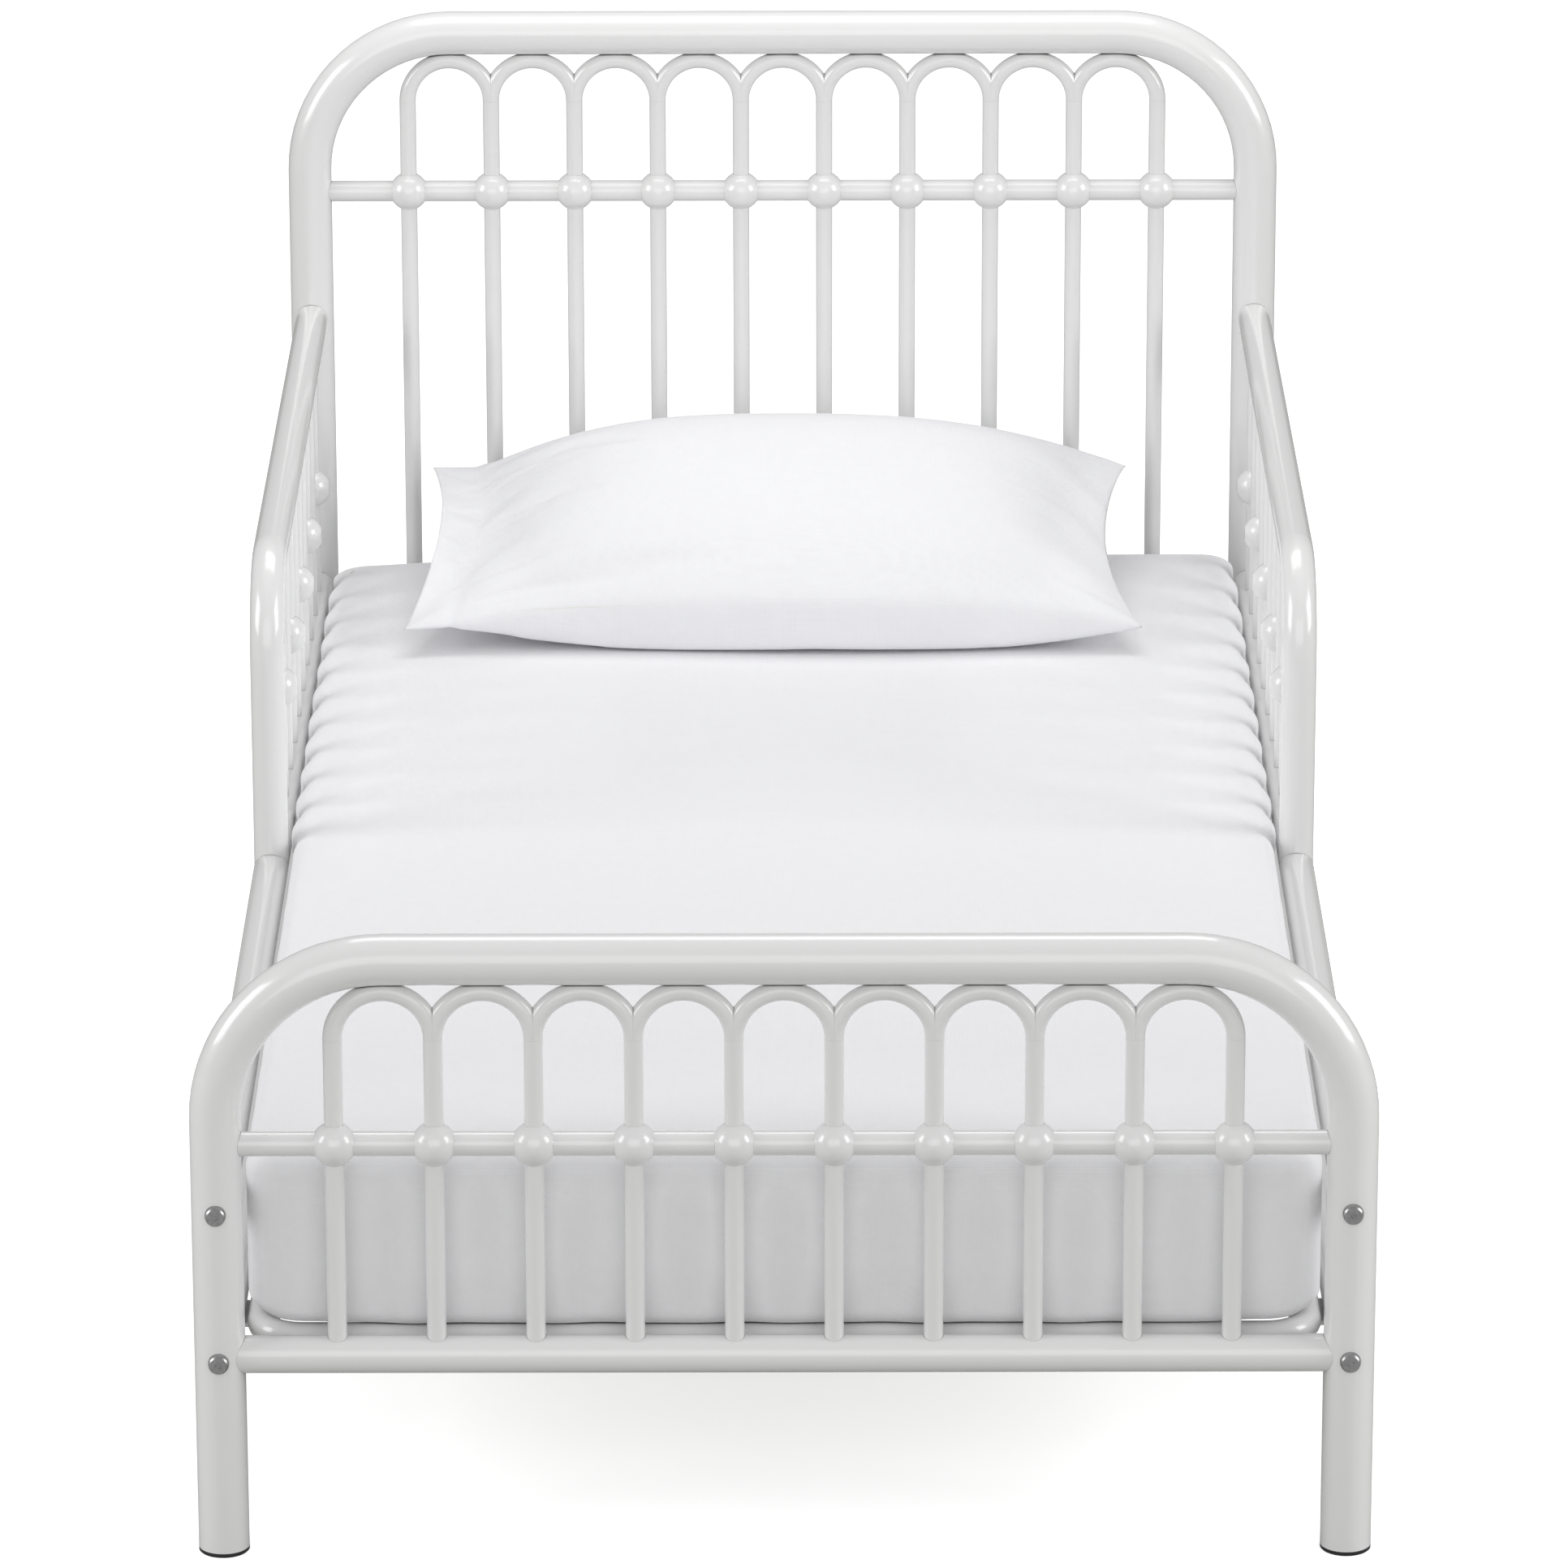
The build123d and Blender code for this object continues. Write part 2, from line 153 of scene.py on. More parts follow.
# ---- materials ---------------------------------------------------------------------
def powder_coat(name, colour, shade, roughness):
    """Glossy polyester powder coat, sprayed dry on steel and baked.

    It flows out to a hard, even gloss with a faint orange peel, which breaks up its reflections.
    Shade is painted into the joints: an ambient occlusion mask darkens the coat where the tubes meet.
    """
    material, tree = new_material(name)
    place = add_node(tree, "ShaderNodeTexCoord").outputs["Object"]
    film = add_node(tree, "ShaderNodeTexNoise", inputs={"Scale": per_metre(180), "Detail": 3.0},
                    links={"Vector": place})
    tone = add_node(tree, "ShaderNodeMix", {"data_type": "RGBA"}, {6: linear(colour), 7: linear(shade)},
                    {0: film.outputs["Fac"]})
    # Painted shade: the occlusion mask mixes the coat towards a dark grey in the creases between tubes.
    joint_shade_occlusion = add_node(tree, "ShaderNodeAmbientOcclusion", {"samples": 8}, {"Distance": 1.6 * MM})
    painted_joint_shade = add_node(tree, "ShaderNodeMapRange",
                     inputs={"From Min": 0.45, "From Max": 0.78, "To Min": 0.75, "To Max": 0.0},
                     links={"Value": joint_shade_occlusion.outputs["AO"]})
    tone = add_node(tree, "ShaderNodeMix", {"data_type": "RGBA"}, {7: linear("#5E5C5A")},
                    {0: painted_joint_shade.outputs["Result"], 6: tone.outputs[2]})
    peel = add_node(tree, "ShaderNodeTexNoise", inputs={"Scale": per_metre(3.5), "Detail": 2.0},
                    links={"Vector": place})
    bump = add_node(tree, "ShaderNodeBump", inputs={"Strength": 0.05, "Distance": 0.2 * MM},
                    links={"Height": peel.outputs["Fac"]})
    gloss = add_node(tree, "ShaderNodeMapRange",
                     inputs={"To Min": roughness * 0.85, "To Max": roughness * 1.2},
                     links={"Value": film.outputs["Fac"]})
    shader = add_node(tree, "ShaderNodeBsdfPrincipled",
                      inputs={"IOR": 1.5, "Coat Weight": 1.0, "Coat Roughness": 0.12},
                      links={"Base Color": tone.outputs[2], "Roughness": gloss.outputs["Result"],
                             "Normal": bump.outputs["Normal"]})
    close_material(tree, shader)
    return material


def zinc_plate():
    """Bright zinc plating on turned steel: metal with a fine, slightly cloudy grain."""
    material, tree = new_material("zinc_plated_steel")
    place = add_node(tree, "ShaderNodeTexCoord").outputs["Object"]
    cloud = add_node(tree, "ShaderNodeTexNoise", inputs={"Scale": per_metre(2.5), "Detail": 4.0},
                     links={"Vector": place})
    tone = add_node(tree, "ShaderNodeMix", {"data_type": "RGBA"},
                    {6: linear("#8E8F90"), 7: linear("#C3C4C3")},
                    {0: cloud.outputs["Fac"]})
    rough = add_node(tree, "ShaderNodeMapRange", inputs={"To Min": 0.28, "To Max": 0.42},
                     links={"Value": cloud.outputs["Fac"]})
    shader = add_node(tree, "ShaderNodeBsdfPrincipled", inputs={"Metallic": 1.0},
                      links={"Base Color": tone.outputs[2], "Roughness": rough.outputs["Result"]})
    close_material(tree, shader)
    return material


def glide_plastic():
    """Injection-moulded polyethylene, black all through, with a fine spark-eroded mould texture."""
    material, tree = new_material("moulded_polyethylene")
    place = add_node(tree, "ShaderNodeTexCoord").outputs["Object"]
    grain = add_node(tree, "ShaderNodeTexNoise", inputs={"Scale": per_metre(0.9), "Detail": 2.0},
                     links={"Vector": place})
    tone = add_node(tree, "ShaderNodeMix", {"data_type": "RGBA"},
                    {6: linear("#17181A"), 7: linear("#2A2B2D")},
                    {0: grain.outputs["Fac"]})
    bump = add_node(tree, "ShaderNodeBump", inputs={"Strength": 0.3, "Distance": 0.1 * MM},
                    links={"Height": grain.outputs["Fac"]})
    shader = add_node(tree, "ShaderNodeBsdfPrincipled", inputs={"Roughness": 0.5, "IOR": 1.51},
                      links={"Base Color": tone.outputs[2], "Normal": bump.outputs["Normal"]})
    close_material(tree, shader)
    return material


def woven_cotton(name, colour, shade, thread_mm, weave_depth_mm, sheen):
    """Plain-woven cotton percale: matt, with warp and weft threads crossing one over one.

    Real threads lie 0.3 mm apart; they are drawn coarser so that the weave can be seen at all.
    """
    material, tree = new_material(name)
    place = add_node(tree, "ShaderNodeTexCoord").outputs["Object"]
    thread_scale = per_metre(thread_mm) * WAVE_PERIOD
    weave = None
    for direction in ("X", "Y", "Z"):
        threads = add_node(tree, "ShaderNodeTexWave", {"bands_direction": direction, "wave_profile": "SIN"},
                           {"Scale": thread_scale, "Distortion": 0.6, "Detail": 1.0, "Detail Scale": 3.0},
                           {"Vector": place})
        if weave is None:
            weave = threads.outputs["Fac"]
        else:
            weave = add_node(tree, "ShaderNodeMath", {"operation": "ADD"},
                             links={0: weave, 1: threads.outputs["Fac"]}).outputs[0]
    slub = add_node(tree, "ShaderNodeTexNoise",
                    inputs={"Scale": per_metre(9), "Detail": 4.0, "Roughness": 0.6},
                    links={"Vector": place})
    height = add_node(tree, "ShaderNodeMath", {"operation": "MULTIPLY_ADD"}, {1: 0.8},
                      {0: slub.outputs["Fac"], 2: weave}).outputs[0]
    bump = add_node(tree, "ShaderNodeBump", inputs={"Strength": 0.5, "Distance": weave_depth_mm * MM},
                    links={"Height": height})
    tone = add_node(tree, "ShaderNodeMix", {"data_type": "RGBA"}, {6: linear(colour), 7: linear(shade)},
                    {0: slub.outputs["Fac"]})
    shader = add_node(tree, "ShaderNodeBsdfPrincipled",
                      inputs={"Roughness": 0.92, "Specular IOR Level": 0.2, "Sheen Weight": sheen,
                              "Sheen Roughness": 0.5},
                      links={"Base Color": tone.outputs[2], "Normal": bump.outputs["Normal"]})
    close_material(tree, shader)
    return material


def floor_paint():
    """Matt white studio floor paint, rolled: no grain to see, only a very faint mottle."""
    material, tree = new_material("matt_floor_paint")
    place = add_node(tree, "ShaderNodeTexCoord").outputs["Object"]
    mottle = add_node(tree, "ShaderNodeTexNoise", inputs={"Scale": per_metre(60), "Detail": 3.0},
                      links={"Vector": place})
    tone = add_node(tree, "ShaderNodeMix", {"data_type": "RGBA"},
                    {6: linear("#FAFAFA"), 7: linear("#FDFDFD")},
                    {0: mottle.outputs["Fac"]})
    seen = add_node(tree, "ShaderNodeBsdfPrincipled",
                    inputs={"Roughness": 1.0, "Specular IOR Level": 0.0, "Emission Strength": 0.62,
                            "Emission Color": (1.0, 1.0, 1.0, 1.0)},
                    links={"Base Color": tone.outputs[2]})
    bounce = add_node(tree, "ShaderNodeBsdfDiffuse", inputs={"Color": (0.5, 0.5, 0.49, 1.0)})
    direct = add_node(tree, "ShaderNodeLightPath").outputs["Is Camera Ray"]
    shader = add_node(tree, "ShaderNodeMixShader",
                      links={0: direct, 1: bounce.outputs[0], 2: seen.outputs[0]})
    close_material(tree, shader)
    return material


# ---- block surfaces ----------------------------------------------------------------
def spaced_lines(half, corner, fine, coarse):
    """Grid lines from -half to half, closer together within a corner's length of each end."""
    ends = max(2, round(corner / fine))
    middle = max(2, round(2 * (half - corner) / coarse))
    low = np.linspace(-half, -half + corner, ends + 1)
    centre = np.linspace(-half + corner, half - corner, middle + 1)[1:-1]
    return np.concatenate([low, centre, -low[::-1]])


def block_surface(half_x, half_y, low, high, plan_r, edge_r, fine, coarse):
    """Points and quads over a block with rounded corners and edges, and the grid place of each point.

    It is a box's own grid, with its corners turned into arcs, so that nothing meets at a pole.
    """
    xs = spaced_lines(half_x, plan_r, fine, coarse)
    ys = spaced_lines(half_y, plan_r, fine, coarse)
    zs = spaced_lines((high - low) / 2, edge_r, fine, fine * 1.5) + (high + low) / 2
    nx, ny, nz = len(xs) - 1, len(ys) - 1, len(zs) - 1
    number = {}
    order = []

    def vertex(i, j, k):
        key = (i, j, k)
        if key not in number:
            number[key] = len(order)
            order.append(key)
        return number[key]

    quads = []
    for i in range(nx):
        for j in range(ny):
            for k, flip in ((0, True), (nz, False)):
                quad = [vertex(i, j, k), vertex(i + 1, j, k), vertex(i + 1, j + 1, k), vertex(i, j + 1, k)]
                quads.append(quad[::-1] if flip else quad)
    for i in range(nx):
        for k in range(nz):
            for j, flip in ((0, False), (ny, True)):
                quad = [vertex(i, j, k), vertex(i + 1, j, k), vertex(i + 1, j, k + 1), vertex(i, j, k + 1)]
                quads.append(quad[::-1] if flip else quad)
    for j in range(ny):
        for k in range(nz):
            for i, flip in ((0, True), (nx, False)):
                quad = [vertex(i, j, k), vertex(i, j + 1, k), vertex(i, j + 1, k + 1), vertex(i, j, k + 1)]
                quads.append(quad[::-1] if flip else quad)

    grid = np.array(order)
    flat = np.column_stack([xs[grid[:, 0]], ys[grid[:, 1]], zs[grid[:, 2]]])
    side_x, side_y = np.sign(flat[:, 0]), np.sign(flat[:, 1])
    over_x = np.maximum(np.abs(flat[:, 0]) - (half_x - plan_r), 0)
    over_y = np.maximum(np.abs(flat[:, 1]) - (half_y - plan_r), 0)
    reach = np.hypot(over_x, over_y)
    rim = np.maximum(over_x, over_y)
    safe = np.where(reach > 0, reach, 1.0)
    out = np.column_stack([side_x * over_x, side_y * over_y]) / safe[:, None]
    plan = np.column_stack([
        side_x * np.minimum(np.abs(flat[:, 0]), half_x - plan_r),
        side_y * np.minimum(np.abs(flat[:, 1]), half_y - plan_r),
    ]) + out * rim[:, None]
    inside = np.where(rim > 0, plan_r - rim, plan_r)

    z = flat[:, 2].copy()
    new_inside = inside.copy()
    for face_z, way in ((high, 1), (low, -1)):
        down = (face_z - flat[:, 2]) * way
        on_face = (down < TINY) & (inside < edge_r)
        on_side = (inside < TINY) & (down < edge_r) & ~on_face
        angle = np.where(on_face, 1 - inside / edge_r, 1 + down / edge_r) * math.pi / 4
        use = on_face | on_side
        new_inside[use] = (edge_r - edge_r * np.sin(angle))[use]
        z[use] = (face_z - way * (edge_r - edge_r * np.cos(angle)))[use]
    plan += out * (inside - new_inside)[:, None]
    return np.column_stack([plan, z]), quads, new_inside, out


# ---- settings ----------------------------------------------------------------------
class FrameFinish(bpy.types.PropertyGroup):
    """Finish of the steel frame."""

    colour: bpy.props.StringProperty(name="Coat colour", description="sRGB hex of the powder coat",
                                     default="#EAEAEA")
    shade: bpy.props.StringProperty(name="Coat shade", description="sRGB hex of its thinner areas",
                                    default="#E7E7E6")
    roughness: bpy.props.FloatProperty(name="Coat roughness", description="Roughness of the coat's gloss",
                                       default=0.3, min=0.0, max=1.0, subtype="FACTOR")


class BeddingLook(bpy.types.PropertyGroup):
    """Sizes and colours of the mattress and its fitted sheet."""

    edge_radius: bpy.props.FloatProperty(name="Edge radius", description="Roundness of the made bed's edges",
                                         default=0.010, unit="LENGTH")
    corner_radius: bpy.props.FloatProperty(name="Corner radius",
                                           description="Roundness of the corners seen from above",
                                           default=0.022, unit="LENGTH")
    crown: bpy.props.FloatProperty(name="Crown", description="How much lower the top is at its rim",
                                   default=0.0015, unit="LENGTH")
    bulge: bpy.props.FloatProperty(name="Bulge",
                                   description="How far the sheet swells between the guard's uprights",
                                   default=0.0038, unit="LENGTH")
    pucker: bpy.props.FloatProperty(name="Pucker",
                                    description="Depth of the creases that start at each upright",
                                    default=0.0026, unit="LENGTH")
    sheet_colour: bpy.props.StringProperty(name="Sheet colour", description="sRGB hex of the sheet",
                                           default="#F3F3F5")
    sheet_shade: bpy.props.StringProperty(name="Sheet shade", description="sRGB hex of its slubs",
                                          default="#EFEFF1")


class PillowLook(bpy.types.PropertyGroup):
    """Sizes and colours of the pillow and its case."""

    flat_depth: bpy.props.FloatProperty(name="Flat depth", description="Depth of the empty case, laid flat",
                                        default=0.352, unit="LENGTH")
    flat_width: bpy.props.FloatProperty(name="Flat width", description="Width of the empty case with its hem",
                                        default=0.582, unit="LENGTH")
    hem: bpy.props.FloatProperty(name="Hem", description="Width of the hem round the case's open end",
                                 default=0.038, unit="LENGTH")
    crown: bpy.props.FloatProperty(name="Crown", description="Height of the stuffed case over its seam",
                                   default=0.080, unit="LENGTH")
    waist: bpy.props.FloatProperty(name="Waist",
                                   description="How far each end is pulled in between its corners",
                                   default=0.026, unit="LENGTH")
    filling: bpy.props.FloatProperty(name="Filling",
                                     description="Litres of filling that the case settles round",
                                     default=10.6)
    pressure: bpy.props.FloatProperty(name="Filling pressure",
                                      description="How hard the filling presses on the case",
                                      default=50.0)
    seam_pull: bpy.props.FloatProperty(name="Seam pull",
                                       description="How much the stitching shortens the seams",
                                       default=0.05, subtype="FACTOR")
    frames: bpy.props.IntProperty(name="Settling steps", description="Steps that the cloth has to settle",
                                  default=16)
    case_colour: bpy.props.StringProperty(name="Case colour", description="sRGB hex of the pillowcase",
                                          default="#F3F3F5")
    case_shade: bpy.props.StringProperty(name="Case shade", description="sRGB hex of its slubs",
                                         default="#EFEFF2")


class StageSettings(bpy.types.PropertyGroup):
    """Camera and lights."""

    distance: bpy.props.FloatProperty(name="Camera distance",
                                      description="From the bed's middle, along the floor",
                                      default=6.1289, unit="LENGTH")
    height: bpy.props.FloatProperty(name="Camera height", description="Above the floor",
                                    default=2.3578, unit="LENGTH")
    lens: bpy.props.FloatProperty(name="Lens", description="Focal length in millimetres", default=209.24)
    tilt: bpy.props.FloatProperty(name="Tilt", description="Downward pitch of the camera",
                                  default=math.radians(18.591), subtype="ANGLE")
    roll: bpy.props.FloatProperty(name="Roll", description="Turn about the line of sight",
                                  default=math.radians(-0.097), subtype="ANGLE")


# ---- operators ---------------------------------------------------------------------
class BED_OT_frame_coat(bpy.types.Operator):
    """Coats the welded and bolted tubes."""

    bl_idname = "toddler_bed.frame_coat"
    bl_label = "Coat the frame"

    def execute(self, context):
        look = context.scene.bed_frame_finish
        coat(COATED, powder_coat("gloss_powder_coat", look.colour, look.shade, look.roughness))
        coat(SUPPORT, powder_coat("satin_powder_coat", look.colour, look.shade, 0.4))
        return {"FINISHED"}


class BED_OT_hardware(bpy.types.Operator):
    """Plates the bolts, washers, plugs and screws, and blackens the glides."""

    bl_idname = "toddler_bed.hardware"
    bl_label = "Finish the hardware"

    def execute(self, context):
        coat(PLATED, zinc_plate())
        coat(GLIDES, glide_plastic())
        return {"FINISHED"}


class BED_OT_mattress(bpy.types.Operator):
    """Makes the mattress under its sheet."""

    bl_idname = "toddler_bed.mattress"
    bl_label = "Make the mattress"

    def execute(self, context):
        look = context.scene.bed_bedding
        low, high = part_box("mattress_core")
        inset = 1.5 * MM
        ticking = woven_cotton("mattress_ticking", "#E4E3DF", "#DAD9D4",
                               thread_mm=1.6, weave_depth_mm=0.3, sheen=0.1)
        points, quads, inside, out = block_surface(
            high.x - inset, high.y - inset, low.z + inset, high.z - 3 * inset,
            look.corner_radius, look.edge_radius, fine=4 * MM, coarse=24 * MM)
        height = (points[:, 2] - low.z) / (high.z - low.z)
        lift = corner_lift(points[:, 0], points[:, 1], high.x, high.y)
        points[:, 2] += lift * (1 - ramp(height, 0.05, 0.35))
        piece = new_piece("mattress", points, quads, ticking)
        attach(piece, MATTRESS_BODY)
        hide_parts("mattress_core")
        return {"FINISHED"}


def upright_places():
    """Where the guard's first upright stands along the bed, and the pitch to the next."""
    low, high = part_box("left_guard_spindles")
    first, last = low.y + UPRIGHT_RADIUS, high.y - UPRIGHT_RADIUS
    return first, (last - first) / (UPRIGHTS - 1)


def corner_lift(x, y, half_x, half_y):
    """How far the sheet's elastic hem pulls the bedding up at its four lower corners."""
    corner = ramp(np.abs(x), half_x - 0.10, half_x - 0.02) * ramp(np.abs(y), half_y - 0.10, half_y - 0.02)
    tip = ramp(np.abs(x), half_x - 0.032, half_x) * ramp(np.abs(y), half_y - 0.04, half_y - 0.02)
    return (1.5 * corner + 8.5 * tip) * MM


def sheet_shape(look, points, inside, out, low_z, top_z, half_x, half_y):
    """Moves the block's points to the made sheet: crown, swells, creases and corner folds."""
    rear_lift, far_left_drop, ripple = 5 * MM, 4 * MM, 0.8 * MM
    swell_reach, crease_reach, pinch_reach = 16 * MM, 34 * MM, 12 * MM
    long_fold, short_fold = 0.083, 0.047
    belly_depth = 4.5 * MM
    crease_lean = 2.0

    x, y, z = points[:, 0].copy(), points[:, 1].copy(), points[:, 2].copy()
    height = (z - low_z) / (top_z - low_z)
    on_top = ramp(height, 0.75, 0.98)
    side = np.sign(x)

    rim = np.minimum(half_x - np.abs(x), half_y - np.abs(y))
    z -= look.crown * (1 - ramp(rim, 0.0, 0.12)) * on_top
    z += rear_lift * ramp(x, -0.05, 0.3) * ramp(y, 0.4, 0.62) * on_top
    far_left = ramp(-x, half_x - 0.10, half_x) * ramp(y, half_y - 0.12, half_y)
    z -= far_left_drop * far_left * on_top
    z += ripple * np.sin(x * 17 + 0.6) * np.sin(y * 9 + 1.1) * on_top * ramp(rim, 0.0, 0.1)

    first, pitch = upright_places()
    edge = half_x - np.abs(x)
    along = (y - first) / pitch
    beside_guard = ramp(y, first - 1.6 * pitch, first - 0.7 * pitch) * (1 - ramp(y, half_y - 30 * MM, half_y))
    valley = (0.5 + 0.5 * np.cos(2 * math.pi * along)) ** 1.5
    swell = (1 - valley) * np.exp(-np.maximum(edge, 0) / swell_reach) * beside_guard
    shoulder = ramp(height, 0.6, 0.9)
    x += side * look.bulge * swell * shoulder
    crease_at = along - crease_lean * np.maximum(edge, 0) / pitch
    crease = (0.5 + 0.5 * np.cos(2 * math.pi * crease_at)) ** 1.6
    z -= look.pucker * crease * np.exp(-np.maximum(edge, 0) / crease_reach) * beside_guard * on_top
    pinch = valley * shoulder * beside_guard * np.exp(-np.maximum(edge, 0) / pinch_reach)
    x -= side * 0.5 * look.pucker * pinch

    wall = (1 - on_top) * (inside < 30 * MM)
    low_part = 1 - ramp(height, 0.05, 0.35)
    run = np.where(np.abs(out[:, 0]) > 0.5, y, x)
    fold = (0.9 * np.sin(run * 2 * math.pi / long_fold + 0.7)
            + 0.6 * np.sin(run * 2 * math.pi / short_fold + 2.0))
    x += out[:, 0] * fold * MM * wall
    y += out[:, 1] * fold * MM * wall
    z += corner_lift(x, y, half_x, half_y) * low_part
    belly = belly_depth * (1 - (x / half_x) ** 2)
    on_end = np.abs(out[:, 1]) > 0.5
    y += np.sign(y) * belly * on_end * ramp(height, 0.0, 0.4) * (1 - ramp(height, 0.7, 1.0))
    return np.column_stack([x, y, z])


class BED_OT_fitted_sheet(bpy.types.Operator):
    """Makes the fitted sheet, drawn over the mattress and tucked under it."""

    bl_idname = "toddler_bed.fitted_sheet"
    bl_label = "Make the fitted sheet"

    def execute(self, context):
        look = context.scene.bed_bedding
        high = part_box("fitted_sheet")[1]
        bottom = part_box("mattress_core")[0].z + 0.3 * MM
        cotton = woven_cotton("fitted_sheet_percale", look.sheet_colour, look.sheet_shade,
                              thread_mm=0.9, weave_depth_mm=0.12, sheen=0.15)
        points, quads, inside, out = block_surface(
            high.x, high.y, bottom, high.z,
            look.corner_radius, look.edge_radius, fine=2.5 * MM, coarse=10 * MM)
        kept = []
        for quad in quads:
            corners = points[quad]
            underneath = corners[:, 2].max() < bottom + 0.1 * MM
            in_x = np.abs(corners[:, 0]).max() < high.x - TUCK
            in_y = np.abs(corners[:, 1]).max() < high.y - TUCK
            if not (underneath and in_x and in_y):
                kept.append(quad)
        shaped = sheet_shape(look, points, inside, out, bottom, high.z, high.x, high.y)
        used = sorted({v for quad in kept for v in quad})
        renumber = {v: n for n, v in enumerate(used)}
        kept = [[renumber[v] for v in quad] for quad in kept]
        piece = new_piece("fitted_sheet_cloth", shaped[used], kept, cotton)
        smooth = piece.modifiers.new("rounding", "SUBSURF")
        smooth.levels = smooth.render_levels = 1
        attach(piece, MATTRESS_BODY)
        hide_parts("fitted_sheet")
        return {"FINISHED"}


def envelope(columns, rows):
    """A flat envelope of two layers, joined on three sides and open at its first column.

    Returns the column, row and layer of each point, and the quads.
    """
    number = {}
    order = []

    def vertex(i, j, layer):
        shared = j in (0, rows) or i == columns
        key = (i, j, 0 if shared else layer)
        if key not in number:
            number[key] = len(order)
            order.append(key)
        return number[key]

    quads = []
    for i in range(columns):
        for j in range(rows):
            for layer in (1, -1):
                quad = [vertex(i, j, layer), vertex(i + 1, j, layer),
                        vertex(i + 1, j + 1, layer), vertex(i, j + 1, layer)]
                quads.append(quad if layer > 0 else quad[::-1])
    return np.array(order), quads


def stuffed_shape(look, u, v, layer, open_end, low_z):
    """The filled case before its cloth settles: crowned, waisted between its corners, flat on the bed."""
    front_left, front_right = np.array((-0.286, 0.402, 0.283)), np.array((0.272, 0.402, 0.284))
    rear_left, rear_right = np.array((-0.272, 0.650, 0.338)), np.array((0.268, 0.650, 0.338))
    uu, vv = u[:, None], v[:, None]
    front = (1 - uu) * front_left + uu * front_right
    rear = (1 - uu) * rear_left + uu * rear_right
    points = (1 - vv) * front + vv * rear
    across, along = 2 * u - 1, 2 * v - 1
    middle = 1 - across ** 2
    points[:, 0] -= np.sign(across) * look.waist * (1 - along ** 2) * np.abs(across) ** 3
    points[:, 1] += middle * (0.010 * v - 0.005 * (1 - v))
    points[:, 2] -= middle * 0.008 * (1 - v)
    stuffed = np.where(across < 0, across / (1 - 1.6 * open_end), across)
    full = np.maximum(1 - np.abs(stuffed) ** 2.6, 0) ** 0.65
    section = np.maximum(1 - np.abs(along) ** 2.4, 0) ** 0.55
    lift = np.where(layer > 0, look.crown, -0.6 * look.crown)
    points[:, 2] += lift * full * section + layer * 1.5 * MM
    points[:, 2] = np.maximum(points[:, 2], low_z)
    return points


class BED_OT_pillow(bpy.types.Operator):
    """Fills the pillowcase as cloth, lets it settle, and puts the pillow inside it."""

    bl_idname = "toddler_bed.pillow"
    bl_label = "Make the pillow"

    def execute(self, context):
        look = context.scene.bed_pillow
        columns, rows = 112, 60
        order, quads = envelope(columns, rows)
        u, v, layer = order[:, 0] / columns, order[:, 1] / rows, order[:, 2]
        flat = np.column_stack([(u - 0.5) * look.flat_width, (v - 0.5) * look.flat_depth, layer * MM])
        open_end = look.hem / look.flat_width
        start = stuffed_shape(look, u, v, layer, open_end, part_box("pillowcase")[0].z + 0.6 * MM)

        cotton = woven_cotton("pillowcase_percale", look.case_colour, look.case_shade,
                              thread_mm=0.9, weave_depth_mm=0.12, sheen=0.2)
        case = new_piece("pillowcase_cloth", start, quads, cotton)
        settle(case, flat, order, columns, rows, open_end, look)
        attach(case, PILLOW_BODY)
        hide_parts("pillowcase")
        self.fill(case, order, quads, columns, open_end)
        stitch = round(columns * open_end)
        stitch_depth = 1.2
        for vertex, (i, _j, _layer) in zip(case.data.vertices, order):
            if i == stitch:
                vertex.co -= vertex.normal * stitch_depth * MM
        smooth = case.modifiers.new("rounding", "SUBSURF")
        smooth.levels = smooth.render_levels = 1
        thick = case.modifiers.new("thickness", "SOLIDIFY")
        thick.thickness = 0.5 * MM
        thick.offset = -1.0
        return {"FINISHED"}

    def fill(self, case, order, quads, columns, open_end):
        """The stuffed pillow: the case's own shape a little smaller, closed before the open end."""
        clearance, clear_columns = 2.2, 4
        points = np.array([p.co for p in case.data.vertices])
        normals = np.array([p.normal for p in case.data.vertices])
        first = int(columns * open_end) + clear_columns
        inner = points - normals * clearance * MM
        kept = [q for q in quads if min(order[v][0] for v in q) >= first]
        used = sorted({v for q in kept for v in q})
        renumber = {v: n for n, v in enumerate(used)}
        faces = [[renumber[v] for v in q] for q in kept]
        rim = sorted((v for v in used if order[v][0] == first), key=lambda v: order[v][1])
        rim_top = [v for v in rim if order[v][2] >= 0]
        rim_low = [v for v in rim if order[v][2] < 0]
        low_line = [rim_top[0]] + rim_low + [rim_top[-1]]
        for a, b, c, d in zip(rim_top, rim_top[1:], low_line[1:], low_line):
            quad = [renumber[v] for v in (a, b, c, d)]
            faces.append(list(dict.fromkeys(quad)))
        ticking = woven_cotton("pillow_ticking", "#EFEFEC", "#E6E6E2",
                               thread_mm=1.2, weave_depth_mm=0.2, sheen=0.1)
        pillow = new_piece("pillow", inner[used], faces, ticking)
        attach(pillow, PILLOW_BODY)
        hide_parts("pillow_insert")


